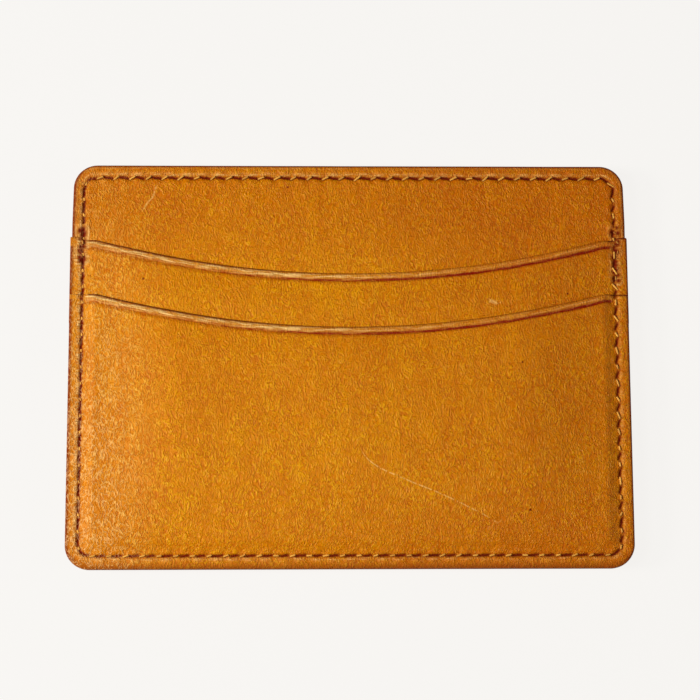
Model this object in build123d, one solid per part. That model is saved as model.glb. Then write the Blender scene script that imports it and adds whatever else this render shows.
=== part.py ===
from build123d import *
import os

# Flat card holder of thin leather. Two lined panels are sewn together down the sides and along the
# base and stay open along the top, which makes the centre pocket. Each panel carries two card slots:
# an upper T-shaped pocket and a lower pocket over it, both with a shallow curved mouth.
#
# Millimetres. +X runs across the width, +Y towards the open top edge, +Z through the thickness.
# The holder lies on its back face, and the origin is the centre of that face.
#
# The two faces are alike, so one face is built outwards from the mid-plane between the panels
# (z = 0 while building) and mirrored for the other.

# --- overall outline ------------------------------------------------------------------------------
WIDTH = 100.0
HEIGHT = 72.5
CORNER_RADIUS = 4.2
SHOULDER_Y = 22.6              # top of the side seams, where the panels become free of each other
SHOULDER_INSET = 0.22          # the free part of each panel is trimmed this much narrower ...
TOP_INSET = 0.5                # ... and this much at its top corners

# --- leather and lining thickness -----------------------------------------------------------------
LINING = 0.15
PANEL = 0.7
UPPER_POCKET = 0.5
UPPER_POCKET_EAR = 0.25        # the ears are skived thin where they enter the side seams
LOWER_POCKET = 0.6

# --- room inside ----------------------------------------------------------------------------------
CARD_SLOT = 0.8                # one 0.76 mm card in each slot
CENTRE_POCKET = 0.8

# --- pocket mouths: a shallow arc with a short level stretch at each side --------------------------
MOUTH_DIP = 6.2
MOUTH_HALF_SPAN = 45.6
MOUTH_EASE = 8.0               # rounding where the arc meets the level stretch
UPPER_MOUTH_Y = 22.4           # height of the level stretches
LOWER_MOUTH_Y = 12.5

# --- upper pocket's T shape -----------------------------------------------------------------------
T_BODY_HALF_WIDTH = 45.2
T_BODY_FLOOR_Y = -30.3
T_EAR_LOW_Y = 7.0
T_CORNER = 2.5

# --- slopes from the sewn margin up to the flat of each layer, as distances from the centre --------
MARGIN_X, MARGIN_Y = 47.2, 33.3
PANEL_FLAT_X, PANEL_FLAT_Y = 45.2, 31.3
UPPER_FLAT_X = 42.9
UPPER_FLOOR_Y, UPPER_FLAT_Y = 27.6, 25.2
LOWER_FLAT_X, LOWER_FLAT_Y = 43.0, 29.0
FREE_LOW_Y, FREE_HIGH_Y = 23.2, 25.2     # the panels part between these heights, above the side seams

# --- sewing ---------------------------------------------------------------------------------------
SEAM_X, SEAM_Y = 47.65, 33.9
SEAM_CORNER = 2.3
STITCH_PITCH = 2.9
STITCH_LENGTH = 2.2
THREAD_WIDTH, THREAD_HEIGHT = 0.5, 0.3
THREAD_CLEARANCE = 0.02
TOP_SEAM_END_Y = 25.6
SIDE_SEAM_END_Y = 24.2
BACKTACK_OFFSET = 0.75         # second row of stitches beside the seam's ends
BACKTACK_PITCH = 1.3
BACKTACK_LENGTH = 1.0
BACKTACK_COUNT = {-1: 4, 1: 6}           # left and right end of the side seams
FLOOR_SEAM_Y = -28.9
FLOOR_SEAM_HALF = 42.0

# --- heights of the layers' faces above the mid-plane: in the sewn margin, and on the flat ---------
LINING_IN = (0.0, CENTRE_POCKET / 2)
PANEL_IN = tuple(z + LINING for z in LINING_IN)
PANEL_OUT = tuple(z + PANEL for z in PANEL_IN)
UPPER_FLAT_IN = PANEL_OUT[1] + CARD_SLOT
UPPER_FLAT_OUT = UPPER_FLAT_IN + UPPER_POCKET
LOWER_FLAT_IN = UPPER_FLAT_OUT + CARD_SLOT
LOWER_IN = (PANEL_OUT[0], LOWER_FLAT_IN)
LOWER_OUT = (LOWER_IN[0] + LOWER_POCKET, LOWER_FLAT_IN + LOWER_POCKET)
HALF_THICKNESS = LOWER_OUT[1]

FAR = 70.0                     # beyond the holder on every side
DEEP = -3.0                    # below the mid-plane


# --- layer surfaces -------------------------------------------------------------------------------
def section(points):
    """Face below a profile. Level points are joined by lines, and a change of height by an S-curve."""
    edges = []
    for start, end in zip(points, points[1:]):
        if start[1] == end[1]:
            edges.append(Line(start, end))
            continue
        middle = ((start[0] + end[0]) / 2, (start[1] + end[1]) / 2)
        edges.append(TangentArc(start, middle, tangent=(1, 0)))
        edges.append(TangentArc(end, middle, tangent=(-1, 0)))
    first, last = points[0], points[-1]
    edges.append(Polyline(last, (last[0], DEEP), (first[0], DEEP), first))
    return make_face(edges)


def across(profile):
    """Solid below a profile across the width. The profile runs from the edge in, and is mirrored."""
    left = [(-x, z) for x, z in profile]
    right = [(x, z) for x, z in reversed(profile)]
    return extrude(Plane.XZ * section(left + right), amount=FAR, both=True)


def along(profile):
    """Solid below a profile that runs from the base to beyond the top edge."""
    return extrude(Plane.YZ * section(profile), amount=FAR, both=True)


def below_panel_face(margin, flat):
    """Everything under a face of the panel or lining: raised inside the seams, and free at the top."""
    sides = across([(FAR, margin), (MARGIN_X, margin), (PANEL_FLAT_X, flat)])
    base = along([(-FAR, margin), (-MARGIN_Y, margin), (-PANEL_FLAT_Y, flat), (FAR, flat)])
    free_top = along([(-FAR, margin), (FREE_LOW_Y, margin), (FREE_HIGH_Y, flat), (FAR, flat)])
    return (sides & base) + free_top


def below_upper_face(ear, foot, flat):
    """Everything under a face of the upper pocket: on the panel at its ears and floor, then raised."""
    sides = across([(FAR, ear), (MARGIN_X, ear), (T_BODY_HALF_WIDTH, foot), (UPPER_FLAT_X, flat)])
    base = along([(-FAR, foot), (-UPPER_FLOOR_Y, foot), (-UPPER_FLAT_Y, flat), (FAR, flat)])
    return sides & base


def below_lower_face(margin, flat):
    """Everything under a face of the lower pocket, which is raised over both card slots."""
    sides = across([(FAR, margin), (MARGIN_X, margin), (LOWER_FLAT_X, flat)])
    base = along([(-FAR, margin), (-MARGIN_Y, margin), (-LOWER_FLAT_Y, flat), (FAR, flat)])
    return sides & base


# --- cut outlines ---------------------------------------------------------------------------------
def holder_outline():
    """Rounded rectangle whose sides step in at the shoulders and draw in a little to the top."""
    half, top = WIDTH / 2, HEIGHT / 2
    right = [(half, -top), (half, SHOULDER_Y), (half - SHOULDER_INSET, SHOULDER_Y), (half - TOP_INSET, top)]
    left = [(-x, y) for x, y in reversed(right)]
    outline = make_face(Polyline(*right, *left, close=True))
    corners = [v for v in outline.vertices() if abs(abs(v.Y) - top) < 0.01]
    return fillet(corners, CORNER_RADIUS)


def below_mouth(side_y):
    """Region below a pocket's mouth."""
    ease_left, ease_right = (-MOUTH_HALF_SPAN, side_y), (MOUTH_HALF_SPAN, side_y)
    edges = [
        Line((-FAR, side_y), ease_left),
        ThreePointArc(ease_left, (0, side_y - MOUTH_DIP), ease_right),
        Line(ease_right, (FAR, side_y)),
        Polyline((FAR, side_y), (FAR, -FAR), (-FAR, -FAR), (-FAR, side_y)),
    ]
    region = make_face(edges)
    eased = [v for v in region.vertices() if abs(abs(v.X) - MOUTH_HALF_SPAN) < 0.01]
    return fillet(eased, MOUTH_EASE)


def band(half_width, low, high):
    """Rectangle centred across the width, between two heights."""
    return Pos(0, (low + high) / 2) * Rectangle(2 * half_width, high - low)


def t_shape():
    """Ears that reach the side seams above a narrower body, which stops short of the base."""
    body = band(T_BODY_HALF_WIDTH, T_BODY_FLOOR_Y, HEIGHT)
    body = fillet(body.vertices().sort_by(Axis.Y)[:2], T_CORNER)
    return body + band(FAR, T_EAR_LOW_Y, HEIGHT)


def sheet(outline, below_outer, below_inner):
    """One piece of leather or lining: the outline's prism between an inner and an outer surface."""
    prism = extrude(Pos(0, 0, DEEP / 2) * outline, amount=HALF_THICKNESS - DEEP)
    return (prism & below_outer) - below_inner


# --- threads --------------------------------------------------------------------------------------
def stitch(length):
    """One visible stitch lying along X on the leather."""
    return Box(length, THREAD_WIDTH, THREAD_HEIGHT, align=(Align.CENTER, Align.CENTER, Align.MIN))


def stitch_row(path, height_at, length=STITCH_LENGTH, pitch=STITCH_PITCH):
    """Stitches spread evenly along a path, each on the highest surface below it."""
    count = round(path.length / pitch)
    one = stitch(length)
    row = []
    for index in range(count):
        spot = path.position_at((index + 0.5) / count)
        heading = path.tangent_at((index + 0.5) / count)
        turn = Vector(1, 0, 0).get_signed_angle(heading, Vector(0, 0, 1))
        reach = abs(heading.Y) * length / 2
        height = max(height_at(spot.Y - reach), height_at(spot.Y), height_at(spot.Y + reach))
        row.append(Pos(spot.X, spot.Y, height) * Rot(0, 0, turn) * one)
    return row


def outer_margin_height(y):
    """Outer surface in the side margins: lower pocket, upper pocket's ear, panel, freed panel."""
    if y < LOWER_MOUTH_Y:
        return LOWER_OUT[0]
    if y < UPPER_MOUTH_Y:
        return PANEL_OUT[0] + UPPER_POCKET_EAR
    rise = min(max((y - FREE_LOW_Y) / (FREE_HIGH_Y - FREE_LOW_Y), 0), 1)
    eased = 2 * rise ** 2 if rise < 0.5 else 1 - 2 * (1 - rise) ** 2
    return PANEL_OUT[0] + eased * (PANEL_OUT[1] - PANEL_OUT[0]) + THREAD_CLEARANCE


def seam_path(end_y, turn_y):
    """Seam that runs from one side, round two rounded corners, to the other side."""
    corners = [(-SEAM_X, end_y), (-SEAM_X, turn_y), (SEAM_X, turn_y), (SEAM_X, end_y)]
    return FilletPolyline(*corners, radius=SEAM_CORNER)


def outer_seam():
    """The seam down both sides and along the base, with a back-tack at each of its two ends."""
    row = stitch_row(seam_path(SIDE_SEAM_END_Y, -SEAM_Y), outer_margin_height)
    for side, count in BACKTACK_COUNT.items():
        x = side * (SEAM_X + BACKTACK_OFFSET)
        end = (x, SIDE_SEAM_END_Y - count * BACKTACK_PITCH)
        backtack = Line((x, SIDE_SEAM_END_Y), end)
        row += stitch_row(backtack, outer_margin_height, BACKTACK_LENGTH, BACKTACK_PITCH)
    return row


def top_seam():
    """The seam that holds a panel to its lining round the free top, as it shows on the leather."""
    return stitch_row(seam_path(TOP_SEAM_END_Y, SEAM_Y), lambda y: PANEL_OUT[1])


def inside_out(row, outer, inner):
    """The same seam's other thread, on the opposite face of the layers."""
    return [Pos(0, 0, inner) * mirror(Pos(0, 0, -outer) * one, about=Plane.XY) for one in row]


def floor_seam():
    """The row that closes the upper pocket's floor, hidden under the lower pocket."""
    path = Line((-FLOOR_SEAM_HALF, FLOOR_SEAM_Y), (FLOOR_SEAM_HALF, FLOOR_SEAM_Y))
    return stitch_row(path, lambda y: PANEL_OUT[1] + UPPER_POCKET)


# --- one face of the holder -----------------------------------------------------------------------
def build_face():
    outline = holder_outline()
    full_width = band(WIDTH / 2, -HEIGHT, HEIGHT)
    under_panel, over_panel = below_panel_face(*PANEL_IN), below_panel_face(*PANEL_OUT)
    upper = sheet(
        outline & full_width & below_mouth(UPPER_MOUTH_Y) & t_shape(),
        below_upper_face(PANEL_OUT[0] + UPPER_POCKET_EAR, PANEL_OUT[1] + UPPER_POCKET, UPPER_FLAT_OUT),
        below_upper_face(PANEL_OUT[0], PANEL_OUT[1], UPPER_FLAT_IN),
    )
    lower = sheet(
        outline & full_width & below_mouth(LOWER_MOUTH_Y),
        below_lower_face(*LOWER_OUT),
        below_lower_face(*LOWER_IN),
    )
    needle = top_seam()
    return {
        "panel_lining": sheet(outline, under_panel, below_panel_face(*LINING_IN)),
        "panel": sheet(outline, over_panel, under_panel),
        "upper_pocket": upper,
        "lower_pocket": lower - upper,
        "top_seam_needle_thread": Compound(needle),
        "top_seam_bobbin_thread": Compound(inside_out(needle, PANEL_OUT[1], LINING_IN[1])),
        "pocket_floor_seam_thread": Compound(floor_seam()),
    }


def build_holder():
    lift = Pos(0, 0, HALF_THICKNESS)
    nodes = {}
    for name, shape in build_face().items():
        nodes["front_" + name] = lift * shape
        nodes["back_" + name] = lift * mirror(shape, about=Plane.XY)
    outer = Compound(outer_seam())
    nodes["outer_seam_needle_thread"] = lift * outer
    nodes["outer_seam_bobbin_thread"] = lift * mirror(outer, about=Plane.XY)
    return nodes


os.makedirs("parts", exist_ok=True)
for node, shape in build_holder().items():
    export_step(shape, f"parts/{node}.step")
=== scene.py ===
import math

import bpy
import numpy as np
from mathutils import Matrix, Vector, geometry, kdtree


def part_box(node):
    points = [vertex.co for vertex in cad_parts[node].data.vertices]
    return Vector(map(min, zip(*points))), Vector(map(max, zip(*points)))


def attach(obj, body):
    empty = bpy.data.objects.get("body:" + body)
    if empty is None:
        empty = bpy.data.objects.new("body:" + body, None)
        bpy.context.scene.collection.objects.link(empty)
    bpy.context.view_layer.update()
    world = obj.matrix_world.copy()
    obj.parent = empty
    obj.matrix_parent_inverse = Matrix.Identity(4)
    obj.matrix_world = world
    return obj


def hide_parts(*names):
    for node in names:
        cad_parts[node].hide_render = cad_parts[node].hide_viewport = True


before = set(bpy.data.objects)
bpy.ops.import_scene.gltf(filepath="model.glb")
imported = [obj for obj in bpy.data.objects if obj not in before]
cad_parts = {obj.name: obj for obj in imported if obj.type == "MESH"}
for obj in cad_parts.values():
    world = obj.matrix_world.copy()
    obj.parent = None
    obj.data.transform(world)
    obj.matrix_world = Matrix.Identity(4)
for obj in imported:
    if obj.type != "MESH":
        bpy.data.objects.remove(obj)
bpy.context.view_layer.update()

# The looks of a leather card holder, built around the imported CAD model.
# Shapes are worked out in millimetres on one face of the holder: x across, y up, and z outwards from the
# mid-plane between the two panels. Sheets and threads are then placed on the front or the back.

MM = 0.001


def box_mm(node):
    """Low and high corners of a CAD node's box, in millimetres."""
    low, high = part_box(node)
    return np.array(low) / MM, np.array(high) / MM


# --- places and sizes read from the frame ---------------------------------------------------------
PANEL_LOW, PANEL_HIGH = box_mm("front_panel")
UPPER_LOW, UPPER_HIGH = box_mm("front_upper_pocket")
LOWER_HIGH = box_mm("front_lower_pocket")[1]
FLOOR_SEAM_LOW, FLOOR_SEAM_HIGH = box_mm("front_pocket_floor_seam_thread")
MID_Z = box_mm("front_panel_lining")[0][2]
HALF_W, HALF_H = PANEL_HIGH[0], PANEL_HIGH[1]
UPPER_MOUTH, LOWER_MOUTH = UPPER_HIGH[1], LOWER_HIGH[1]
T_FLOOR = UPPER_LOW[1]
SEAM_INSET = 2.35
SEAM_X, SEAM_Y = HALF_W - SEAM_INSET, HALF_H - SEAM_INSET

# --- heights above the mid-plane: in the sewn margin, and on the flat ------------------------------
LINING_T, PANEL_T, UPPER_T, EAR_T, LOWER_T = 0.15, 0.70, 0.50, 0.25, 0.60
PANEL_FLAT = PANEL_HIGH[2] - MID_Z
PANEL_MARGIN = PANEL_LOW[2] - MID_Z + PANEL_T
CENTRE_RISE = PANEL_FLAT - PANEL_MARGIN
UPPER_FLAT = UPPER_HIGH[2] - MID_Z
LOWER_FLAT = LOWER_HIGH[2] - MID_Z
LOWER_MARGIN = PANEL_MARGIN + LOWER_T

# how far each layer's slopes reach in from the side and base seams, as distances from the middle
PANEL_FLAT_X, PANEL_FLAT_Y = 38.0, 25.0
LOWER_STEP, LOWER_STEP_X, LOWER_STEP_Y = 0.7, 45.1, 31.0
LOWER_SWELL_X, LOWER_SWELL_Y = 29.0, 16.0
UPPER_SLOPE = 15.0
# where the two panels part above the side seams, and over what height
FREE_Y, FREE_RUN = 22.8, 3.4
# how far a pocket's lip lies down, how deep and how wide the droop is, and where it begins
LIP_DROOP, LIP_DEPTH, LIP_WIDTH, LIP_X = 0.55, 7.0, 14.0, 42.2

# --- outline --------------------------------------------------------------------------------------
CORNER_R = 4.2
SHOULDER_Y, SHOULDER_INSET, TOP_INSET = 22.6, 0.22, 0.5
MOUTH_SPAN, MOUTH_DIP = 45.6, 6.2
T_HALF, T_EAR_LOW, EAR_RISE = 45.2, 7.0, 0.55
MARGIN_X, MARGIN_Y = 47.2, 33.3

STITCH_PITCH = 2.9
# how each stretch of seam looks: the visible thread's length, slant in degrees and depth sunk, the slit
# of painted shade between two stitches and its slant, how far beside the thread its groove and its painted
# shadow show, how dark the painted shade along the seam line is, how strong the painted highlight on the
# puckered leather outside it is, and how many degrees its stitches vary
STYLE = {
    "left": {"thread": 0.2, "slant": 12, "sink": 0.20, "slit": 2.5, "slit_slant": -6, "shadow": -0.10,
             "line": 1.0, "highlight": 1.0, "loose": 6},
    "top": {"thread": 0.8, "slant": 30, "sink": 0.0, "slit": 1.9, "slit_slant": -13, "shadow": 0.15,
            "line": 0.55, "highlight": 0.9, "loose": 7},
    "base": {"thread": 0.7, "slant": 14, "sink": 0.02, "slit": 1.85, "slit_slant": 8, "shadow": 0.12,
             "line": 0.35, "highlight": 0.6, "loose": 6},
    "right": {"thread": 0.85, "slant": 18, "sink": 0.03, "slit": 1.7, "slit_slant": -20, "shadow": 0.24,
              "line": 0.45, "highlight": 0.35, "loose": 15},
}
TOP_SEAM_END, SIDE_SEAM_END, SEAM_CORNER_R = 25.6, 24.2, 2.3


# ==================================================================================================
# Curves and distances
# ==================================================================================================
def corner_path(corners, step, closed=True):
    """Dense points along a polyline whose corners (x, y, radius) are rounded with arcs."""
    points = []
    count = len(corners)
    for i, (x, y, radius) in enumerate(corners):
        here = np.array([x, y])
        if radius == 0 or (not closed and i in (0, count - 1)):
            points.append(here)
            continue
        back = np.array(corners[i - 1][:2]) - here
        ahead = np.array(corners[(i + 1) % count][:2]) - here
        back, ahead = back / np.linalg.norm(back), ahead / np.linalg.norm(ahead)
        half = math.acos(np.clip(back @ ahead, -1, 1)) / 2
        bisector = (back + ahead) / np.linalg.norm(back + ahead)
        centre = here + bisector * radius / math.sin(half)
        first = here + back * radius / math.tan(half) - centre
        last = here + ahead * radius / math.tan(half) - centre
        turn = math.atan2(first[0] * last[1] - first[1] * last[0], first @ last)
        arcs = max(2, int(abs(turn) * radius / step) + 1)
        for k in range(arcs + 1):
            a = turn * k / arcs
            points.append(centre + [first[0] * math.cos(a) - first[1] * math.sin(a),
                                    first[0] * math.sin(a) + first[1] * math.cos(a)])
    if closed:
        points.append(points[0])
    return resample(np.array(points), step)


def resample(points, step):
    """The same line with points about one step apart, keeping its first and last point."""
    gaps = np.linalg.norm(np.diff(points, axis=0), axis=1)
    keep = np.concatenate([[True], gaps > 1e-9])
    points = points[keep]
    run = np.concatenate([[0], np.cumsum(np.linalg.norm(np.diff(points, axis=0), axis=1))])
    spots = np.linspace(0, run[-1], max(2, int(round(run[-1] / step)) + 1))
    return np.stack([np.interp(spots, run, points[:, k]) for k in (0, 1)], 1)


def nearest(points, path):
    """Distance to a path, arc length at the nearest point, and the signed offset to its left."""
    tree = kdtree.KDTree(len(path))
    for index, (x, y) in enumerate(path.tolist()):
        tree.insert((x, y, 0), index)
    tree.balance()
    closest = np.array([tree.find((x, y, 0))[1] for x, y in points.tolist()], dtype=int)
    a, ab = path[:-1], np.diff(path, axis=0)
    length = np.linalg.norm(ab, axis=1)
    run = np.concatenate([[0], np.cumsum(length)[:-1]])
    best = np.full((len(points), 3), 1e9)
    for segment in (closest - 1, closest):
        if np.allclose(path[0], path[-1]):
            segment = segment % len(a)
        segment = np.clip(segment, 0, len(a) - 1)
        ap = points - a[segment]
        t = np.clip((ap * ab[segment]).sum(1) / length[segment] ** 2, 0, 1)
        distance = np.linalg.norm(ap - t[:, None] * ab[segment], axis=1)
        side = np.sign(ab[segment, 0] * ap[:, 1] - ab[segment, 1] * ap[:, 0])
        here = np.stack([distance, run[segment] + t * length[segment], side * distance], 1)
        best = np.where((distance < best[:, 0])[:, None], here, best)
    return best[:, 0], best[:, 1], best[:, 2]


def ease(t):
    """S-curve from 0 to 1."""
    t = np.clip(t, 0, 1)
    return t * t * (3 - 2 * t)


def bell(x, width):
    """Smooth bump of height 1 at 0, falling off over about this width."""
    return np.exp(-(x / width) ** 2)


def waves(x, y, size, seed):
    """Smooth random undulation of about unit height, from a few sine waves."""
    rng = np.random.default_rng(seed)
    total = np.zeros_like(x)
    for _ in range(7):
        angle, phase = rng.uniform(0, 2 * math.pi, 2)
        k = 2 * math.pi / (size * rng.uniform(0.6, 1.6))
        total += np.sin(k * (x * math.cos(angle) + y * math.sin(angle)) + phase)
    return total / 3.5


def mouth_height(x, side_y):
    """Height of a pocket's mouth: a shallow arc between two short level stretches."""
    radius = (MOUTH_SPAN ** 2 + MOUTH_DIP ** 2) / (2 * MOUTH_DIP)
    drop = np.sqrt(radius ** 2 - np.minimum(np.abs(x), 60.0) ** 2) - (radius - MOUTH_DIP)
    soft = 0.12
    return side_y - (drop + np.sqrt(drop ** 2 + soft ** 2)) / 2 + soft / 2


def mouth_distance(x, y, side_y):
    """Distance below a pocket's mouth, square to the edge."""
    slope = (mouth_height(x + 0.1, side_y) - mouth_height(x - 0.1, side_y)) / 0.2
    return (mouth_height(x, side_y) - y) / np.sqrt(1 + slope ** 2)


# ==================================================================================================
# Outlines and seam lines
# ==================================================================================================
EDGE_STEP = 0.30


def holder_outline(inset):
    """The whole holder, a little narrower above the shoulders and at the top."""
    w, h, s = HALF_W - inset, HALF_H - inset, SHOULDER_INSET
    right = [(w, -h, CORNER_R), (w, SHOULDER_Y - 0.5, 0.4), (w - s, SHOULDER_Y + 0.5, 0.4),
             (w - TOP_INSET, h, CORNER_R)]
    return corner_path(right + [(-x, y, r) for x, y, r in reversed(right)], EDGE_STEP)


def pocket_outline(inset, side_y):
    """A full-width pocket: rounded corners at the base and the curved mouth on top."""
    w, h = HALF_W - inset, HALF_H - inset
    xs = np.linspace(w, -w, 140)
    mouth = [(x, y, 0) for x, y in zip(xs, mouth_height(xs, side_y))]
    return corner_path([(-w, -h, CORNER_R), (w, -h, CORNER_R)] + mouth, EDGE_STEP)


def t_outline(inset):
    """The T-shaped upper pocket: a narrow hidden body, and ears that rise outside the side seams."""
    w = HALF_W - inset
    xs = np.linspace(w, -w, 200)
    ear_tops = EAR_RISE * ease((np.abs(xs) - SEAM_X + 0.5) / 1.3)
    mouth = [(x, y, 0) for x, y in zip(xs, mouth_height(xs, UPPER_MOUTH) + ear_tops)]
    body = [(-T_HALF, T_FLOOR, 2.5), (T_HALF, T_FLOOR, 2.5), (T_HALF, T_EAR_LOW, 0.5), (w, T_EAR_LOW, 0.3)]
    low_left = [(-w, T_EAR_LOW, 0.3), (-T_HALF, T_EAR_LOW, 0.5)]
    return corner_path(body + mouth + low_left, EDGE_STEP)


def seam_line(end_y, turn_y):
    """A seam from its end on the left side, across at turn_y, to its end on the right."""
    corners = [(-SEAM_X, end_y, 0), (-SEAM_X, turn_y, SEAM_CORNER_R),
               (SEAM_X, turn_y, SEAM_CORNER_R), (SEAM_X, end_y, 0)]
    return corner_path(corners, 0.25, closed=False)


TOP_SEAM = seam_line(TOP_SEAM_END, SEAM_Y)
OUTER_SEAM = seam_line(SIDE_SEAM_END, -SEAM_Y)


def path_length(path):
    return float(np.linalg.norm(np.diff(path, axis=0), axis=1).sum())


def true_pitch(path):
    """The stitch pitch that fits a whole number of stitches into the seam."""
    return path_length(path) / round(path_length(path) / STITCH_PITCH)


# ==================================================================================================
# Surfaces of the layers
# ==================================================================================================
def inside_seams(x, y, flat_x, flat_y):
    """0 in the sewn margin, 1 on the flat inside the side and base seams."""
    across = ease((MARGIN_X - np.abs(x)) / (MARGIN_X - flat_x))
    up = ease((y + MARGIN_Y) / (MARGIN_Y - flat_y))
    return across * up


def panel_surface(x, y):
    """Pinched down at the side and base seams, and free above the side seams' ends."""
    pinched = inside_seams(x, y, PANEL_FLAT_X, PANEL_FLAT_Y)
    free = ease((y - FREE_Y) / FREE_RUN)
    return PANEL_MARGIN + CENTRE_RISE * np.maximum(pinched, free)


def upper_thickness(x, y):
    """The pocket's full thickness, skived thin at the ears."""
    return EAR_T + (UPPER_T - EAR_T) * ease((MARGIN_X - np.abs(x)) / 2.0)


def pressed_thickness(x, y):
    """The thin ears are pressed down into the seam's groove."""
    return upper_thickness(x, y) + 0.45 * bell(np.abs(x) - SEAM_X, 0.6)


def lip_droop(x, y, side_y):
    """An empty pocket's mouth lies down almost on the layer behind it."""
    across = ease((LIP_X - np.abs(x)) / LIP_WIDTH)
    return LIP_DROOP * ease(1 - mouth_distance(x, y, side_y) / LIP_DEPTH) * across


def upper_surface(x, y):
    """Lies on the panel, lifted inside its own edges by the card slot."""
    across = ease((T_HALF - np.abs(x)) / UPPER_SLOPE)
    up = ease((y + 28.6) / 8.0)
    raised = (UPPER_FLAT - PANEL_FLAT - UPPER_T) * across * up
    return panel_surface(x, y) + upper_thickness(x, y) + raised - lip_droop(x, y, UPPER_MOUTH)


def lower_surface(x, y):
    """Steps up over the edge of the upper pocket, then swells gently."""
    step = LOWER_STEP * inside_seams(x, y, LOWER_STEP_X, LOWER_STEP_Y)
    height = LOWER_FLAT - LOWER_MARGIN - LOWER_STEP
    swell = height * inside_seams(x, y, LOWER_SWELL_X, LOWER_SWELL_Y)
    return LOWER_MARGIN + step + swell - lip_droop(x, y, LOWER_MOUTH)


def telegraph(x, y):
    """The upper pocket's hidden side edges and floor, printing through the lower pocket."""
    side = 0.07 * bell(np.abs(x) - T_HALF - 0.1, 0.45) * ease((T_EAR_LOW + 3 - y) / 6) * ease((y + 31) / 2)
    floor = 0.07 * bell(y - T_FLOOR - 0.2, 0.7) * ease((T_HALF - np.abs(x)) / 2)
    ledge = 0.05 * ease((y - T_FLOOR + 0.4) / 0.8)
    return side + floor + ledge


def seam_leg(path, run):
    """Name of the stretch of a seam at an arc length: left, across or right."""
    side = abs(path[0, 1] - path[len(path) // 2, 1])
    total = path_length(path)
    return np.where(run < side - 1, "left", np.where(run > total - side + 1, "right", "across"))


def style_at(path, run, key):
    """One number of the sewing style at each arc length along a seam."""
    leg = seam_leg(path, run)
    across = "top" if path[len(path) // 2, 1] > 0 else "base"
    return np.select([leg == "left", leg == "right"], [STYLE["left"][key], STYLE["right"][key]],
                     STYLE[across][key])


def seam_pattern(points, near, path):
    """Relief, painted shade and painted highlight of a seam: shade along it, in a slit at each place where
    the thread dives and as the thread's shadow, and highlight on the puckers.
    """
    relief, shade, highlight = np.zeros(len(points)), np.zeros(len(points)), np.zeros(len(points))
    distance, run, left = nearest(points[near], path)
    pitch = true_pitch(path)
    index = np.floor(run / pitch)
    wobble = 0.12 * np.sin(index * 2.4)
    from_stitch = (run / pitch - index - 0.5) * pitch
    from_slit = ((run / pitch + 0.5) % 1 - 0.5) * pitch + wobble
    slit_half = style_at(path, run, "slit") / 2
    slit_side = left - from_slit * np.tan(np.radians(style_at(path, run, "slit_slant")))
    slit = np.exp(-(np.abs(from_slit) / slit_half) ** 6 - (slit_side / 0.24) ** 2)
    thread_half = style_at(path, run, "thread") / 2
    thread_side = left - from_stitch * np.tan(np.radians(style_at(path, run, "slant")))
    beside = thread_side + style_at(path, run, "shadow")
    shadow = np.exp(-(np.abs(from_stitch) / (thread_half + 0.15)) ** 6 - (beside / 0.16) ** 2)
    pucker = 0.08 * np.cos(2 * math.pi * run / pitch) * bell(np.abs(left) - 0.85, 0.5)
    streaks = 0.02 * np.sin(run * 9.0 + 2 * np.sin(run * 2.3)) * bell(np.abs(left) - 0.7, 0.4)
    relief[near] = (-0.14 * bell(distance, 0.34) - 0.20 * slit - 0.08 * shadow + pucker + streaks
                    + 0.06 * bell(distance - 1.0, 0.45))
    wander = 0.10 * np.sin(run * 5.1) + 0.07 * np.sin(run * 11.7)
    # painted shade along the seam line, in the slits and as the thread's shadow beside it
    line = style_at(path, run, "line") * bell(left + wander, 0.19)
    shade[near] = np.clip(line + 1.1 * slit + 0.8 * shadow, 0, 1)
    outside = left if path[len(path) // 2, 1] > 0 else -left
    # painted highlight on the puckered leather outside the seam, strongest on the left side
    gathers = (0.55 + 0.3 * np.cos(2 * math.pi * run / pitch + 0.8)
               + 0.25 * np.sin(run * 7.3 + np.sin(run * 1.9)))
    highlight[near] = style_at(path, run, "highlight") * gathers * bell(outside - 0.55, 0.3)
    return relief, shade, highlight


def rounded_edge(distance, depth, spread):
    """How far a surface drops towards a cut edge that is rounded over, from this many depths away."""
    t = np.clip(1 - distance / (spread * depth), 0, 1)
    return -depth * (1 - np.sqrt(1 - t * t))


# ==================================================================================================
# Mesh building
# ==================================================================================================
# insets of the rings of points inside an outline, closest together at the cut edge and at the seam
RING_INSETS = (0.05, 0.11, 0.19, 0.30, 0.45, 0.62, 0.82, 1.02, 1.2, 1.38, 1.56, 1.72, 1.86, 1.98, 2.09,
               2.19, 2.29, 2.39, 2.49, 2.60, 2.72, 2.86, 3.04, 3.3, 3.65, 4.1)
COARSE_INSETS = (0.08, 0.2, 0.45, 1.0)
HIDDEN_INSETS = (0.08, 0.25, 0.8, 1.4, 1.9, 2.35, 2.8, 3.3)
TOP_ROUNDING, LOW_ROUNDING = 2.4, 1.0


def inset_rings(outline, insets):
    """Points on lines inside the outline, at each of these distances from it."""
    ahead = np.roll(outline[:-1], -1, axis=0) - np.roll(outline[:-1], 1, axis=0)
    normal = np.stack([-ahead[:, 1], ahead[:, 0]], 1)
    normal /= np.linalg.norm(normal, axis=1)[:, None]
    found = []
    for inset in insets:
        ring = outline[:-1] + normal * inset
        distance = nearest(ring, outline)[0]
        found.append(ring[distance > inset * 0.985 - 1e-3])
    return found


def grid_points(outline, step, clear, keep):
    """A staggered grid inside the outline, at least clear away from it, where keep(x, y) holds."""
    low, high = outline.min(0), outline.max(0)
    rows = np.arange(low[1], high[1], step * 0.866)
    columns = np.arange(low[0], high[0], step)
    x, y = np.meshgrid(columns, rows)
    x = x + (np.arange(len(rows)) % 2)[:, None] * step / 2
    points = np.stack([x.ravel(), y.ravel()], 1)
    points = points[keep(points[:, 0], points[:, 1])]
    distance, _, left = nearest(points, outline)
    return points[(left > 0) & (distance > clear)]


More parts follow.
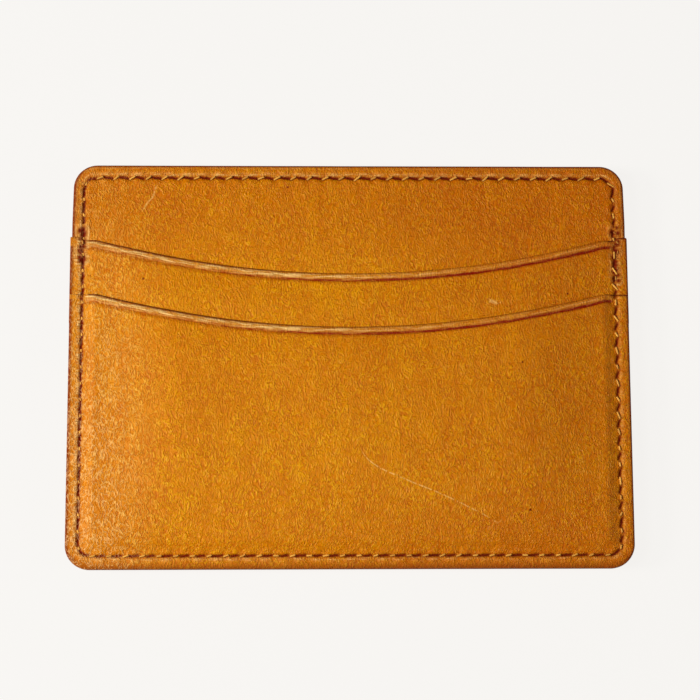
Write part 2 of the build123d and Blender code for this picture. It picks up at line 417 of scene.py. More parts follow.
def triangulate(outline, inner):
    """Triangles over a counter-clockwise outline, whose last point repeats its first, and inner points."""
    loop = outline[:-1]
    points = [Vector(p) for p in np.concatenate([loop, inner])]
    face = list(range(len(loop)))
    verts, _, faces, sources, _, _ = geometry.delaunay_2d_cdt(points, [], [face], 1, 1e-5)
    rim = np.full(len(loop), -1)
    for index, ids in enumerate(sources):
        for k in ids:
            if k < len(loop):
                rim[k] = index
    return np.array([tuple(v) for v in verts]), faces, rim


def flip_for(face):
    return 1 if face == "front" else -1


def to_row(points, face):
    """Face coordinates in mm to the row frame in metres."""
    out = np.array(points, float)
    out[:, 2] = MID_Z + flip_for(face) * out[:, 2]
    return out * MM


def new_mesh(name, verts, faces, face, materials, face_slots=None, attributes=None):
    """A smooth-shaded object from face-coordinate points. Faces on the back are wound the other way."""
    mesh = bpy.data.meshes.new(name)
    if face == "back":
        faces = [tuple(reversed(f)) for f in faces]
    mesh.from_pydata([tuple(v) for v in to_row(verts, face)], [], faces)
    for material in materials:
        mesh.materials.append(material)
    if face_slots is not None:
        mesh.polygons.foreach_set("material_index", np.array(face_slots, np.int32))
    mesh.polygons.foreach_set("use_smooth", np.ones(len(mesh.polygons), bool))
    for key, values in (attributes or {}).items():
        mesh.attributes.new(key, "FLOAT", "POINT").data.foreach_set("value", np.array(values, np.float32))
    mesh.validate()
    mesh.update()
    piece = bpy.data.objects.new(name, mesh)
    bpy.context.scene.collection.objects.link(piece)
    return piece


def everywhere(x, y):
    return np.ones(len(x), bool)


def sheet_arrays(outline, thickness_at, top_at, round_top, round_low, fine, keep_fine, wall_bulge, marks):
    """Points, faces, material slots and attributes of one closed leather or cloth sheet."""
    insets = RING_INSETS if fine < 1 else COARSE_INSETS
    rings = inset_rings(outline, insets)
    ring_points = np.concatenate(rings)
    clear = insets[-1] + 0.6 * fine
    if fine < 1:
        near = keep_fine(ring_points[:, 0], ring_points[:, 1])
        shallow = np.concatenate([np.full(len(r), inset < 0.7) for r, inset in zip(rings, insets)])
        ring_points = ring_points[near | shallow]
    inner = [ring_points, grid_points(outline, fine, clear, keep_fine)]
    inner.append(grid_points(outline, 1.8, 1.9, lambda x, y: ~keep_fine(x, y)))
    top_xy, top_faces, top_rim = triangulate(outline, np.concatenate(inner))
    low_rings = np.concatenate(inset_rings(outline, HIDDEN_INSETS))
    low_grid = grid_points(outline, 1.5, 3.9, everywhere)
    low_xy, low_faces, low_rim = triangulate(outline, np.concatenate([low_rings, low_grid]))

    top_edge = nearest(top_xy, outline)[0]
    low_edge = nearest(low_xy, outline)[0]
    base_top = top_at(top_xy[:, 0], top_xy[:, 1])
    marked, attributes = marks(top_xy, top_edge)
    top_z = base_top + marked + rounded_edge(top_edge, round_top, TOP_ROUNDING)
    low_z = (top_at(low_xy[:, 0], low_xy[:, 1]) - thickness_at(low_xy[:, 0], low_xy[:, 1])
             - rounded_edge(low_edge, round_low, LOW_ROUNDING))

    verts = [np.column_stack([top_xy, top_z]), np.column_stack([low_xy, low_z])]
    faces = [tuple(f) for f in top_faces]
    shift = len(top_xy)
    slots = [0] * len(faces)
    faces += [tuple(shift + i for i in reversed(f)) for f in low_faces]
    slots += [1] * len(low_faces)

    # the cut edge's wall, slightly domed
    loop = outline[:-1]
    ahead = np.roll(loop, -1, axis=0) - np.roll(loop, 1, axis=0)
    outward = np.stack([ahead[:, 1], -ahead[:, 0]], 1)
    outward /= np.linalg.norm(outward, axis=1)[:, None]
    rows = [top_rim]
    count = shift + len(low_xy)
    for k in (1, 2):
        t = k / 3
        z = top_z[top_rim] * (1 - t) + low_z[low_rim] * t
        xy = loop + outward * wall_bulge * 4 * t * (1 - t)
        verts.append(np.column_stack([xy, z]))
        rows.append(np.arange(count, count + len(loop)))
        count += len(loop)
    rows.append(low_rim + shift)
    for upper, lower in zip(rows, rows[1:]):
        nxt_u, nxt_l = np.roll(upper, -1), np.roll(lower, -1)
        faces += list(zip(upper.tolist(), lower.tolist(), nxt_l.tolist(), nxt_u.tolist()))
    slots += [0] * (len(faces) - len(slots))
    verts = np.concatenate(verts)
    full = {}
    for key, values in attributes.items():
        rest = np.zeros(len(verts) - len(values))
        if key == "rim":
            rest[len(low_xy):] = 1
            rest[:len(low_xy)] = bell(low_edge, 0.3)
        full[key] = np.concatenate([values, rest])
    return verts, faces, slots, full


# ==================================================================================================
# Material nodes
# ==================================================================================================
class Graph:
    """Small helper that adds shader nodes and links them."""

    def __init__(self, name):
        self.material = bpy.data.materials.new(name)
        self.material.use_nodes = True
        self.tree = self.material.node_tree
        self.shader = self.tree.nodes["Principled BSDF"]

    def put(self, socket, value):
        if isinstance(value, bpy.types.NodeSocket):
            self.tree.links.new(value, socket)
        elif value is not None:
            socket.default_value = value

    def node(self, kind, inputs=(), output=0, **settings):
        node = self.tree.nodes.new(kind)
        for key, value in settings.items():
            setattr(node, key, value)
        for key, value in dict(inputs).items():
            self.put(node.inputs[key], value)
        return node.outputs[output]

    def math(self, operation, a, b=None, c=None, clamp=False):
        inputs = {0: a}
        if b is not None:
            inputs[1] = b
        if c is not None:
            inputs[2] = c
        return self.node("ShaderNodeMath", inputs, operation=operation, use_clamp=clamp)

    def span(self, value, low, high, to_low=0.0, to_high=1.0, smooth=True):
        kind = "SMOOTHSTEP" if smooth else "LINEAR"
        return self.node("ShaderNodeMapRange", {0: value, 1: low, 2: high, 3: to_low, 4: to_high},
                         interpolation_type=kind)

    def noise(self, vector, scale, detail=2.0, roughness=0.5, distortion=0.0):
        return self.node("ShaderNodeTexNoise", {"Vector": vector, "Scale": scale, "Detail": detail,
                                                "Roughness": roughness, "Distortion": distortion})

    def mix(self, factor, a, b, blend="MIX"):
        node = self.tree.nodes.new("ShaderNodeMix")
        node.data_type, node.blend_type = "RGBA", blend
        self.put(node.inputs[0], factor)
        self.put(node.inputs[6], a)
        self.put(node.inputs[7], b)
        return node.outputs[2]

    def place(self, scale, shift):
        """Object coordinates in millimetres, shifted, then stretched."""
        where = self.node("ShaderNodeTexCoord", output=3)
        return self.node("ShaderNodeMapping", {"Vector": where, "Location": shift,
                                               "Scale": [s / MM for s in scale]})

    def attribute(self, name):
        return self.node("ShaderNodeAttribute", output=2, attribute_name=name)


def rgba(r, g, b):
    """Linear colour from 0-255 display values."""
    def linear(v):
        v /= 255
        return v / 12.92 if v <= 0.04045 else ((v + 0.055) / 1.055) ** 2.4
    return (linear(r), linear(g), linear(b), 1)


TAN, LIGHT_TAN, STRIPE, UNEVEN = rgba(211, 124, 0), rgba(217, 133, 0), rgba(192, 92, 0), rgba(188, 92, 0)
RIDGE, VALLEY, PAINTED_SHEEN = rgba(232, 172, 8), rgba(170, 68, 0), rgba(246, 188, 124)
CREASE_AND_SHADE, BEAD_HIGHLIGHT, HOLE_AND_SEAM_SHADE, BURNISH_AND_SHADE = rgba(138, 12, 0), rgba(255, 206, 126), rgba(112, 12, 0), rgba(126, 44, 0)
SCRATCH, SPECK, SHADE_AND_AGE = rgba(247, 196, 112), rgba(120, 24, 0), rgba(236, 211, 182)
FLESH_DARK, FLESH_LIGHT = rgba(150, 98, 52), rgba(186, 132, 80)
CLOTH_DARK, CLOTH_LIGHT = rgba(92, 62, 38), rgba(142, 104, 68)
THREAD_SHADED, THREAD_LIT = rgba(204, 112, 8), rgba(250, 184, 66)
FIBRE, SOILED_AND_SHADED = rgba(255, 216, 118), rgba(110, 26, 0)

# marks of use on the front, in mm: the scratches as (along, across) points, the specks as (place, size)
LONG_SCRATCH = [(1.2, -13.4), (2.4, -16.6), (4.3, -18.3), (8.7, -20.4), (16.5, -23.6), (24.3, -27.4),
                (26.0, -28.2), (27.3, -30.1)]
SHORT_SCRATCH = [(27.9, -37.1), (29.4, -36.2), (30.3, -35.4), (31.6, -35.0), (33.0, -34.6)]
SCUFF = [(24.2, 11.0), (25.0, 11.2), (25.8, 10.9), (27.0, 11.1)]
SPECKS = [((30.4, -0.1, 0), 0.24), ((31.4, -26.1, 0), 0.30), ((-11.1, 32.2, 0), 0.26),
          ((-36.8, 15.2, 0), 0.30), ((38.9, 12.6, 0), 0.26)]


def ridge_lines(g, vector, scale, width):
    """Thin wandering lines, 1 on the line and 0 a little way off it."""
    off = g.math("ABSOLUTE", g.math("SUBTRACT", g.noise(vector, scale, 1.0, 0.5), 0.5))
    return g.span(off, width, 0.0)


def scratch_line(g, along, across, points, width):
    """A fine scratch through points (along, across) in mm, rising along the first coordinate."""
    points = np.array(points, float)
    low, high = points.min(0), points.max(0)
    curve = g.tree.nodes.new("ShaderNodeFloatCurve")
    knots = curve.mapping.curves[0].points
    for x, y in (points - low) / (high - low):
        knots.new(x, y)
    knots.remove(knots[0])
    knots.remove(knots[len(knots) - 1])
    curve.mapping.update()
    g.put(curve.inputs["Value"], g.math("DIVIDE", g.math("SUBTRACT", along, low[0]), high[0] - low[0]))
    course = g.math("MULTIPLY_ADD", curve.outputs[0], high[1] - low[1], low[1])
    off = g.math("ABSOLUTE", g.math("SUBTRACT", across, course))
    middle, half = (low[0] + high[0]) / 2, (high[0] - low[0]) / 2
    ends = g.span(g.math("ABSOLUTE", g.math("SUBTRACT", along, middle)), half, 0.86 * half)
    return g.math("MULTIPLY", g.span(off, width, 0.0), ends)


def front_wear_and_painted_light(g, colour, ridges):
    """Marks of use on the front: scratches, a scuff and dark specks, with a painted sheen on the ridges
    towards the left and the base, and painted shade, in part an aged tone, that makes the right, the top,
    the lower right and the base edge darker and redder.
    """
    plain = g.place((1, 1, 1), (0, 0, 0))
    axes = g.tree.nodes.new("ShaderNodeSeparateXYZ")
    g.put(axes.inputs[0], plain)
    x, y = axes.outputs[0], axes.outputs[1]
    # painted sheen: a pale highlight on the grain's ridges, strongest towards the left and the base
    painted_sheen = g.math("MULTIPLY", g.span(x, -31, -47, 0.0, 0.50), g.span(y, 30, -25, 0.25, 1.0))
    colour = g.mix(g.math("MULTIPLY", ridges, painted_sheen), colour, PAINTED_SHEEN)
    broken = g.span(g.noise(plain, 1.6, 2.0, 0.6), 0.42, 0.56)
    long_one = scratch_line(g, x, y, LONG_SCRATCH, 0.20)
    short_one = scratch_line(g, y, x, SHORT_SCRATCH, 0.30)
    scuff = scratch_line(g, x, y, SCUFF, 0.55)
    marks = g.math("ADD", g.math("ADD", long_one, short_one), scuff)
    colour = g.mix(g.math("MULTIPLY", g.math("MULTIPLY", marks, broken), 0.7), colour, SCRATCH)
    flat = g.node("ShaderNodeVectorMath", {0: plain, 1: (1, 1, 0)}, operation="MULTIPLY")
    for place, size in SPECKS:
        off = g.node("ShaderNodeVectorMath", {0: flat, 1: place}, output=1, operation="DISTANCE")
        colour = g.mix(g.span(off, size, 0.4 * size), colour, SPECK)
    # painted shade, in part an aged tone: darker and redder towards the right, the top, the lower right and
    # the base edge
    shade_and_age = g.math("ADD", g.span(x, -10, 40, 0.0, 0.62), g.span(y, 12, 30, 0.0, 0.55))
    low_right = g.math("MULTIPLY", g.span(x, -30, 5), g.span(y, -20, -32, 0.0, 0.35))
    shade_and_age = g.math("ADD", g.math("ADD", shade_and_age, low_right), g.span(y, -31.5, -35.0, 0.0, 0.30))
    return g.mix(shade_and_age, colour, SHADE_AND_AGE, "MULTIPLY")


def leather_material(name, shift, wear_and_painted_light=None):
    """Tan leather, whose grain is shifted by this much, with optional marks of wear and painted light."""
    g = Graph(name)
    plain = g.place((1, 1, 1), shift)
    wander = g.node("ShaderNodeTexNoise", {"Vector": plain, "Scale": 0.4, "Detail": 1.0}, output=1)
    pulled = g.node("ShaderNodeVectorMath", {0: wander, 1: (0.5, 0.5, 0.5)}, operation="SUBTRACT")
    pulled = g.node("ShaderNodeVectorMath", {0: pulled, "Scale": 1.3}, operation="SCALE")
    bent = g.node("ShaderNodeVectorMath", {0: plain, 1: pulled}, operation="ADD")
    tall = g.node("ShaderNodeVectorMath", {0: bent, 1: (1.0, 0.42, 1.0)}, operation="MULTIPLY")

    # grain: short upright worm-like ridges, fine valleys between them, stronger in some patches
    ridges = ridge_lines(g, tall, 2.0, 0.09)
    valleys = ridge_lines(g, g.node("ShaderNodeVectorMath", {0: tall, 1: (7, 31, 5)}, operation="ADD"),
                          1.7, 0.07)
    fine = g.span(g.noise(bent, 3.2, 2.0, 0.6), 0.3, 0.7)
    patchy = g.span(g.noise(plain, 0.22, 2.0, 0.6), 0.36, 0.64)
    grain = g.math("ADD", g.math("MULTIPLY", ridges, 0.55), g.math("MULTIPLY", fine, 0.35))
    grain = g.math("SUBTRACT", grain, g.math("MULTIPLY", valleys, 0.3))

    # colour: uneven patina, darker and redder in the valleys, lighter on the ridges
    broad = g.span(g.noise(plain, 0.045, 3.0, 0.55), 0.3, 0.7)
    mid = g.span(g.noise(tall, 0.5, 3.0, 0.6), 0.3, 0.7)
    upright = g.node("ShaderNodeVectorMath", {0: plain, 1: (1.0, 0.28, 1.0)}, operation="MULTIPLY")
    stripes = g.span(g.noise(upright, 0.30, 2.0, 0.6), 0.38, 0.62)
    colour = g.mix(broad, TAN, LIGHT_TAN)
    colour = g.mix(g.math("MULTIPLY", stripes, 0.26), colour, STRIPE)
    colour = g.mix(g.math("MULTIPLY", mid, 0.28), colour, UNEVEN)
    strength = g.math("ADD", g.math("MULTIPLY", patchy, 0.25), 0.3)
    colour = g.mix(g.math("MULTIPLY", ridges, strength), colour, RIDGE)
    colour = g.mix(g.math("MULTIPLY", valleys, strength), colour, VALLEY)

    # along a mouth: streaks that follow it, a painted highlight on the bead, and a dark creased line with
    # painted shade in its groove
    axes = g.tree.nodes.new("ShaderNodeSeparateXYZ")
    g.put(axes.inputs[0], plain)
    along = g.node("ShaderNodeCombineXYZ", {0: g.math("MULTIPLY", axes.outputs[0], 0.3),
                                            1: g.math("MULTIPLY", g.attribute("depth"), 3.2), 2: shift[0]})
    streak = g.span(g.noise(along, 1.3, 3.0, 0.65), 0.40, 0.60)
    crease_and_shade = g.math("MULTIPLY", g.attribute("crease_and_shade"), g.span(streak, 0.0, 1.0, 1.0, 0.5))
    colour = g.mix(crease_and_shade, colour, CREASE_AND_SHADE)
    # painted highlight on the mouth's bead, the seams' puckers and the rounded edge
    raised_highlight = g.math("MULTIPLY", g.attribute("raised_highlight"), g.span(streak, 0.0, 1.0, 0.1, 1.0))
    colour = g.mix(raised_highlight, colour, BEAD_HIGHLIGHT)
    grain = g.math("ADD", grain, g.math("MULTIPLY", raised_highlight, 0.6))
    # painted shade in the stitch holes, slits, seam groove and torn back-tack holes, and the thread's
    # painted shadow
    colour = g.mix(g.attribute("seam_shade"), colour, HOLE_AND_SEAM_SHADE)
    # burnished edge paint, with painted shade on the rounded edges and along the mouths
    rim = g.attribute("rim")
    colour = g.mix(rim, colour, BURNISH_AND_SHADE)
    if wear_and_painted_light:
        colour = wear_and_painted_light(g, colour, ridges)
    g.put(g.shader.inputs["Base Color"], colour)

    dull = g.math("MAXIMUM", rim, g.attribute("seam_shade"))
    rough = g.math("ADD", g.math("MULTIPLY", grain, -0.08), g.math("MULTIPLY", mid, 0.06))
    rough = g.math("ADD", rough, g.math("MULTIPLY", dull, 0.5))
    g.put(g.shader.inputs["Roughness"], g.math("ADD", rough, 0.37, clamp=True))
    g.shader.inputs["Specular IOR Level"].default_value = 0.36
    g.shader.inputs["Specular Tint"].default_value = (1.0, 0.70, 0.27, 1)

    bump = g.node("ShaderNodeBump", {"Strength": 1.0, "Distance": 0.12 * MM, "Height": grain})
    g.put(g.shader.inputs["Normal"], bump)
    return g.material


def flesh_material():
    """The rough inner side of the leather."""
    g = Graph("leather_flesh_side")
    plain = g.place((1, 1, 1), (3, 5, 7))
    nap = g.noise(plain, 2.6, 4.0, 0.7)
    colour = g.mix(g.span(nap, 0.3, 0.7), FLESH_DARK, FLESH_LIGHT)
    g.put(g.shader.inputs["Base Color"], colour)
    g.shader.inputs["Roughness"].default_value = 0.92
    g.shader.inputs["Specular IOR Level"].default_value = 0.15
    g.put(g.shader.inputs["Normal"], g.node("ShaderNodeBump", {"Distance": 0.08 * MM, "Height": nap}))
    return g.material


def lining_material():
    """Plain-woven cloth."""
    g = Graph("lining_weave")
    plain = g.place((1, 1, 1), (0, 0, 0))
    axes = g.tree.nodes.new("ShaderNodeSeparateXYZ")
    g.put(axes.inputs[0], plain)
    turn = 2 * math.pi / 0.32
    warp = g.math("SINE", g.math("MULTIPLY", axes.outputs[0], turn))
    weft = g.math("SINE", g.math("MULTIPLY", axes.outputs[1], turn))
    weave = g.math("MULTIPLY", warp, weft)
    slub = g.noise(plain, 1.2, 3.0, 0.6)
    tone = g.math("ADD", g.math("MULTIPLY", weave, 0.25), slub)
    colour = g.mix(g.span(tone, 0.2, 0.9), CLOTH_DARK, CLOTH_LIGHT)
    g.put(g.shader.inputs["Base Color"], colour)
    g.shader.inputs["Roughness"].default_value = 0.9
    g.shader.inputs["Sheen Weight"].default_value = 0.2
    g.put(g.shader.inputs["Normal"], g.node("ShaderNodeBump", {"Distance": 0.05 * MM, "Height": weave}))
    return g.material


def thread_material():
    """Waxed thread, with painted shade between its plies and at its ends where it goes into the leather,
    and darker on some stitches at random.
    """
    g = Graph("waxed_thread")
    plain = g.place((1, 1, 1), (0, 0, 0))
    fibre = g.noise(plain, 6.0, 2.0, 0.6)
    ply_shade = g.attribute("ply_shade")
    wear_and_painted_light = g.attribute("wear_and_painted_light")
    # painted shade between the plies and painted light on their crowns
    colour = g.mix(ply_shade, THREAD_SHADED, THREAD_LIT)
    colour = g.mix(g.math("MULTIPLY", fibre, 0.45), colour, FIBRE)
    colour = g.mix(wear_and_painted_light, colour, SOILED_AND_SHADED)
    g.put(g.shader.inputs["Base Color"], colour)
    g.shader.inputs["Roughness"].default_value = 0.45
    g.shader.inputs["Specular IOR Level"].default_value = 0.3
    g.shader.inputs["Specular Tint"].default_value = (1.0, 0.75, 0.45, 1)
    g.put(g.shader.inputs["Normal"], g.node("ShaderNodeBump", {"Distance": 0.03 * MM, "Height": fibre}))
    return g.material


# ==================================================================================================
# The leather sheets
# ==================================================================================================
def edge_burnish_and_shade(x, y, distance):
    """Burnished edge paint of the cut edges, with painted shade where it spreads wider along the left side
    and the base.
    """
    width = 0.30 + 0.26 * ease((-x - 47) / 2) + 0.55 * ease((-y - 33.5) / 2)
    strength = 1.3 - 0.65 * ease((-y - 33.5) / 2)
    return np.clip(strength * np.exp(-(distance / width) ** 2), 0, 1)


def backtack_spots():
    """Needle holes torn together where the side seams end: x, y and size of each."""
    rng = np.random.default_rng(7)
    spots = []
    for side, low, high, count in ((-1, 18.4, 24.6, 30), (1, 15.2, 25.2, 26)):
        for y in np.linspace(low, high, count):
            row = 0.6 * (rng.random() < 0.4)
            spots.append((side * (SEAM_X + row + rng.normal(0, 0.18)), y + rng.normal(0, 0.15),
                          rng.uniform(0.22, 0.5)))
    return spots


def backtack_marks(x, y):
    """How torn the leather is at the ends of the side seams, with painted shade in the torn holes, and a
    painted highlight on the puckers around them, stronger on the left side.
    """
    torn, pale = np.zeros(len(x)), np.zeros(len(x))
    near = (np.abs(x) > 45) & (y > 14) & (y < 26.5)
    for sx, sy, size in backtack_spots():
        away = np.hypot(x[near] - sx, y[near] - sy)
        torn[near] = np.maximum(torn[near], np.clip(1.4 * bell(away, size), 0, 1))
        pale[near] = np.maximum(pale[near], bell(away - 2 * size, 0.16))
    # pale: a painted highlight on the puckers round the holes, stronger on the left side
    return torn, pale * (1 - torn) * np.where(x < 0, 0.8, 0.4)


def panel_marks(points, edge):
    """Relief and attributes of the panel: its seams, back-tacks and burnished edge, with their painted
    shade and painted highlights.
    """
    x, y = points[:, 0], points[:, 1]
    near = edge < 4.2
    top_relief, top_shade, top_highlight = seam_pattern(points, near & (y > TOP_SEAM_END - 1.4), TOP_SEAM)
    sides = near & (y > 3) & (y < SIDE_SEAM_END + 1.4)
    outer_relief, outer_shade, outer_highlight = seam_pattern(points, sides, OUTER_SEAM)
    torn, pale = backtack_marks(x, y)
    relief = top_relief + outer_relief + 0.05 * bell(edge - 0.9, 0.7) + 0.03 * waves(x, y, 16, 1)
    # painted shade of the seams and in the torn back-tack holes
    shade = np.maximum(np.maximum(top_shade, outer_shade), torn)
    # painted highlight on the seams' puckers, on the puckers at the back-tacks and along the rounded cut
    # edge
    highlight = top_highlight + outer_highlight + pale + 0.25 * bell(edge - 0.5, 0.18)
    return relief - 0.06 * torn, {"rim": edge_burnish_and_shade(x, y, edge), "crease_and_shade": 0 * x, "seam_shade": shade,
                                  "raised_highlight": highlight, "depth": edge}


def pocket_marks(side_y, seed, prints):
    """The same for a pocket with its mouth at side_y; prints adds the pieces hidden under it."""
    def marks(points, edge):
        x, y = points[:, 0], points[:, 1]
        depth = mouth_distance(x, y, side_y)
        inside = ease((SEAM_X - 0.2 - np.abs(x)) / 0.8)
        rightwards = ease((x + 35) / 60)
        groove = bell(depth - 1.32, 0.25) * inside
        lines = (0.5 * bell(depth - 0.95, 0.10) + 0.7 * bell(depth - 1.78, 0.12)) * inside * (1 - rightwards)
        raised_highlight = bell(depth - 0.62, 0.36) * inside
        margin = np.minimum(HALF_W - np.abs(x), HALF_H + y)
        relief, shade, highlight = seam_pattern(points, margin < 4.2, OUTER_SEAM)
        torn, pale = backtack_marks(x, y)
        relief += -0.19 * groove - 0.06 * lines + 0.06 * raised_highlight + 0.03 * bell(margin - 1.1, 0.8) - 0.06 * torn
        relief += (0.05 * waves(x, y, 22, seed) - 0.05) * inside_seams(x, y, 41, 27)
        if prints:
            relief += telegraph(x, y) - 0.05
        # the dark line along a mouth's edge is partly painted shade: it is lifted towards the right, where
        # light falls on the edge, and at the left ear
        soft = np.where(np.abs(x) < SEAM_X - 1, rightwards, x < 0)
        rim = edge_burnish_and_shade(x, y, edge) * (1 - 0.75 * soft * (depth < 1.0))
        # the creased line's own dark, with painted shade in its groove that grows towards the right, and
        # the fine lines' dark on the left
        crease_and_shade = groove * (0.8 + 1.1 * rightwards) + 0.6 * lines
        # painted highlight on the bead, strongest on the left, with the seam's and back-tacks' painted
        # highlights
        bead_and_seam_highlight = raised_highlight * (1.6 - 1.3 * rightwards) + highlight + pale
        return relief, {"rim": rim, "crease_and_shade": crease_and_shade, "raised_highlight": bead_and_seam_highlight, "seam_shade": np.maximum(shade, torn),
                        "depth": depth}
    return marks


def no_marks(points, edge):
    """A plain sheet."""
    return 0.0, {"rim": 0.0 * edge}


def panel_shows(x, y):
    """Where the panel shows, or follows the side seams down under the upper pocket's ears."""
    return (y > mouth_height(x, UPPER_MOUTH) - 1.2) | ((np.abs(x) > 44.5) & (y > 3))


def upper_shows(x, y):
    """Where the upper pocket shows, or follows the side seams down under the lower pocket."""
    return (y > mouth_height(x, LOWER_MOUTH) - 1.2) | (np.abs(x) > 44.5)


def build_sheets():
    """Mesh arrays of the four sheets of one face, in the order of sheet_arrays' arguments."""
    return {
        "panel": sheet_arrays(holder_outline(0.06), lambda x, y: PANEL_T, panel_surface,
                              0.30, 0.05, 0.5, panel_shows, 0.05, panel_marks),
        "upper_pocket": sheet_arrays(t_outline(0.03), pressed_thickness, upper_surface,
                                     0.16, 0.04, 0.5, upper_shows, 0.03,
                                     pocket_marks(UPPER_MOUTH, 2, False)),
        "lower_pocket": sheet_arrays(pocket_outline(0.10, LOWER_MOUTH), lambda x, y: LOWER_T,
                                     lower_surface, 0.32, 0.05, 0.52, everywhere, 0.04,
                                     pocket_marks(LOWER_MOUTH, 3, True)),
        "panel_lining": sheet_arrays(holder_outline(0.05), lambda x, y: LINING_T,
                                     lambda x, y: panel_surface(x, y) - PANEL_T,
                                     0.03, 0.03, 1.5, everywhere, 0.0, no_marks),
    }


# ==================================================================================================
# The threads
# ==================================================================================================
def stitch_arrays(centre, heading, length, slant, sink, height_at, ply_phase, tone):
    """One visible stitch: a laid thread of three twisted plies that dives into a hole at each end."""
    rings, sides, radius = 16, 12, 0.155
    normal = np.array([-heading[1], heading[0]])
    t = np.linspace(-1, 1, rings)
    along = t * length / 2
    across = along * math.tan(slant)
    xy = centre + along[:, None] * heading + across[:, None] * normal
    arch = np.where(np.abs(t) < 0.72, 0.0, -0.42 * ((np.abs(t) - 0.72) / 0.28) ** 2)
    z = height_at(xy) + 0.03 - sink + arch + 0.05 * (1 - t ** 2)
    direction = heading + normal * math.tan(slant)
    direction /= np.linalg.norm(direction)
    side = np.array([-direction[1], direction[0]])
    verts, ply_shade, wear_and_painted_light = [], [], []
    for i in range(rings):
        for k in range(sides):
            a = 2 * math.pi * k / sides
            twist = 3 * a + ply_phase + 2 * math.pi * along[i] / 0.62
            bulge = 1 + 0.16 * math.cos(twist)
            out = radius * bulge * math.cos(a)
            up = radius * bulge * 0.85 * math.sin(a)
            verts.append([xy[i, 0] + side[0] * out, xy[i, 1] + side[1] * out, z[i] + up])
            # painted shade in the grooves between the plies, and lit colour on their crowns
            ply_shade.append(0.5 + 0.5 * math.cos(twist))
            # painted shade where the thread dives into its holes, on top of a random darker tone per stitch
            wear_and_painted_light.append(min(1, tone + 0.9 * max(0, abs(t[i]) - 0.62) / 0.38))
    faces = []
    for i in range(rings - 1):
        for k in range(sides):
            a, b = i * sides + k, i * sides + (k + 1) % sides
            faces.append((a, b, b + sides, a + sides))
    faces.append(tuple(reversed(range(sides))))
    faces.append(tuple(range((rings - 1) * sides, rings * sides)))
    return verts, faces, ply_shade, wear_and_painted_light


def along_path(path, spots):
    """Points and headings at these arc lengths."""
    run = np.concatenate([[0], np.cumsum(np.linalg.norm(np.diff(path, axis=0), axis=1))])

    def at(s):
        return np.stack([np.interp(s, run, path[:, k]) for k in (0, 1)], -1)

    spots = np.asarray(spots, float)
    heading = at(np.minimum(spots + 0.3, run[-1])) - at(np.maximum(spots - 0.3, 0))
    return at(spots), heading / np.linalg.norm(heading, axis=1)[:, None]


def seam_arrays(path, height_at, seed, extra=()):
    """Every stitch of one seam, with small differences between them, then any extra back-tack stitches."""
    rng = np.random.default_rng(seed)
    pitch = true_pitch(path)
    count = round(path_length(path) / pitch)
    centres, headings = along_path(path, (np.arange(count) + 0.5) * pitch)
    spots = (np.arange(count) + 0.5) * pitch
    keys = ("thread", "slant", "sink", "loose")
    lengths, slants, sinks, loose = (style_at(path, spots, key) for key in keys)
    plan = [(*stitch, 0.0) for stitch in zip(centres, headings, lengths + 0.5, slants, sinks, loose)]
    plan += [(np.array(c, float), np.array(h, float), 0.9, 8, 0.06, 20, 0.5) for c, h in extra]
    verts, faces, ply_shade, wear_and_painted_light = [], [], [], []
    for centre, heading, length, slant, sink, swing, soiled in plan:
        size = length * rng.uniform(1 - swing / 40, 1 + swing / 50)
        slant = math.radians(slant + rng.normal(0, swing))
        v, f, p, w = stitch_arrays(centre, heading, size, slant, sink, height_at, rng.uniform(0, 6.28),
                                   soiled + rng.uniform(0.0, 0.35))
        faces += [tuple(len(verts) + i for i in face) for face in f]
        verts, ply_shade, wear_and_painted_light = verts + v, ply_shade + p, wear_and_painted_light + w
    return np.array(verts), faces, {"ply_shade": ply_shade, "wear_and_painted_light": wear_and_painted_light}


def outer_height(xy):
    """Outer surface under the side and base seam, whichever layer is on top there."""
    x, y = xy[:, 0], xy[:, 1]
    low = lower_surface(x, y)
    ear = upper_surface(x, y)
    bare = panel_surface(x, y)
    return np.where(y < LOWER_MOUTH, low, np.where(y < UPPER_MOUTH, ear, bare)) - 0.12


def backtack():
    """Extra stitches where the side seams end: short, crowded and sewn twice over."""
    rng = np.random.default_rng(11)
    found = []
    for side, low, high in ((-1, 19.6, 24.2), (1, 15.6, 24.8)):
        y = low
        while y < high:
            x = side * (SEAM_X + rng.uniform(0.15, 0.8))
            found.append(((x, y), (side * rng.uniform(-0.25, 0.05), 1.0)))
            y += rng.uniform(1.3, 1.9) + (0.9 if side < 0 else 0.0)
    return found


def build_threads():
    """Mesh arrays of the four threads of one face."""
    def panel_top(xy):
        return panel_surface(xy[:, 0], xy[:, 1]) - 0.12

    def inside(xy):
        return panel_surface(xy[:, 0], xy[:, 1]) - PANEL_T - LINING_T + 0.02

    floor_y = (FLOOR_SEAM_LOW[1] + FLOOR_SEAM_HIGH[1]) / 2
    floor = resample(np.array([[FLOOR_SEAM_LOW[0], floor_y], [FLOOR_SEAM_HIGH[0], floor_y]]), 0.5)
    return {
        "top_seam_needle_thread": seam_arrays(TOP_SEAM, panel_top, 21),
        "top_seam_bobbin_thread": seam_arrays(TOP_SEAM, inside, 22),
        "pocket_floor_seam_thread": seam_arrays(floor, lambda xy: upper_surface(xy[:, 0], xy[:, 1]), 23),
        "outer_seam": seam_arrays(OUTER_SEAM, outer_height, 24, backtack()),
    }


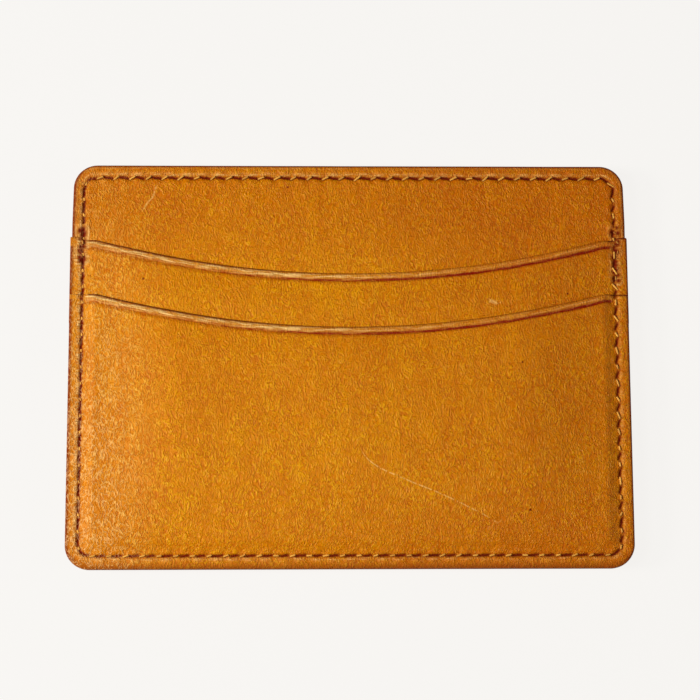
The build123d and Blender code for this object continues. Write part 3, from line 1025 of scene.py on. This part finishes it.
# ==================================================================================================
# Assembly, stage, light and camera
# ==================================================================================================
def place_pieces():
    """Builds every visible piece, named after the CAD node it stands for, puts it under the root body and
    hides that node.
    """
    flesh, cloth, thread = flesh_material(), lining_material(), thread_material()
    leather = {"front": leather_material("tan_leather_front", (11, 3, 0), front_wear_and_painted_light),
               "back": leather_material("tan_leather_back", (61, 47, 30))}
    sheets, threads = build_sheets(), build_threads()
    for face in ("front", "back"):
        for part, (verts, faces, slots, attributes) in sheets.items():
            node = f"{face}_{part}"
            materials = [cloth, cloth] if part == "panel_lining" else [leather[face], flesh]
            piece = new_mesh("look_" + node, verts, faces, face, materials, slots, attributes)
            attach(piece, "root")
            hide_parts(node)
        for part, (verts, faces, attributes) in threads.items():
            node = f"{face}_{part}"
            if part == "outer_seam":
                node = "outer_seam_needle_thread" if face == "front" else "outer_seam_bobbin_thread"
            piece = new_mesh("look_" + node, verts, faces, face, [thread], None, attributes)
            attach(piece, "root")
            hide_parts(node)


def floor_and_light():
    """A pale, mostly self-lit floor, a dim world, a key and a softbox at the left, a fill at the right."""
    bpy.ops.mesh.primitive_plane_add(size=6, location=(0, 0, 0))
    floor = bpy.context.object
    floor.name = "floor"
    g = Graph("pale_floor")
    pale = rgba(247, 245, 242)
    g.shader.inputs["Base Color"].default_value = [0.05 * c for c in pale[:3]] + [1]
    g.shader.inputs["Roughness"].default_value = 0.9
    g.shader.inputs["Specular IOR Level"].default_value = 0.0
    g.shader.inputs["Emission Color"].default_value = pale
    g.shader.inputs["Emission Strength"].default_value = 0.95
    floor.data.materials.append(g.material)

    world = bpy.data.worlds.new("studio")
    bpy.context.scene.world = world
    world.use_nodes = True
    world.node_tree.nodes["Background"].inputs[0].default_value = (1, 1, 1, 1)
    world.node_tree.nodes["Background"].inputs[1].default_value = 0.06

    def area(name, place, size, power):
        data = bpy.data.lights.new(name, "AREA")
        data.shape, data.size, data.energy = "DISK", size, power
        lamp = bpy.data.objects.new(name, data)
        lamp.location = place
        lamp.rotation_euler = (-Vector(place)).to_track_quat("-Z", "Y").to_euler()
        bpy.context.scene.collection.objects.link(lamp)

    area("key", (-0.55, -0.04, 0.39), 0.16, 3.45)
    area("softbox", (-0.18, -0.05, 0.34), 0.12, 0.77)
    area("fill", (0.45, -0.10, 0.30), 0.20, 0.50)


def camera():
    """Seen from above, tilted towards the base and a little to the left, aimed just above the middle."""
    tilt, swing, lift = math.radians(-8.72), math.radians(1.54), math.radians(0.448)
    distance = 0.340
    turn = Matrix.Rotation(swing, 3, "Y") @ Matrix.Rotation(tilt, 3, "X")
    eye = turn.transposed() @ Vector((0, 0, distance)) + Vector((0, 0, MID_Z * MM))
    data = bpy.data.cameras.new("camera")
    data.sensor_width, data.lens = 36, 98.07
    view = bpy.data.objects.new("camera", data)
    aim = Matrix.Rotation(-lift, 3, "X") @ turn
    view.matrix_world = Matrix.Translation(eye) @ aim.transposed().to_4x4()
    bpy.context.scene.collection.objects.link(view)
    bpy.context.scene.camera = view


place_pieces()
floor_and_light()
camera()
bpy.context.scene.view_settings.view_transform = "Standard"
bpy.context.scene.view_settings.look = "None"
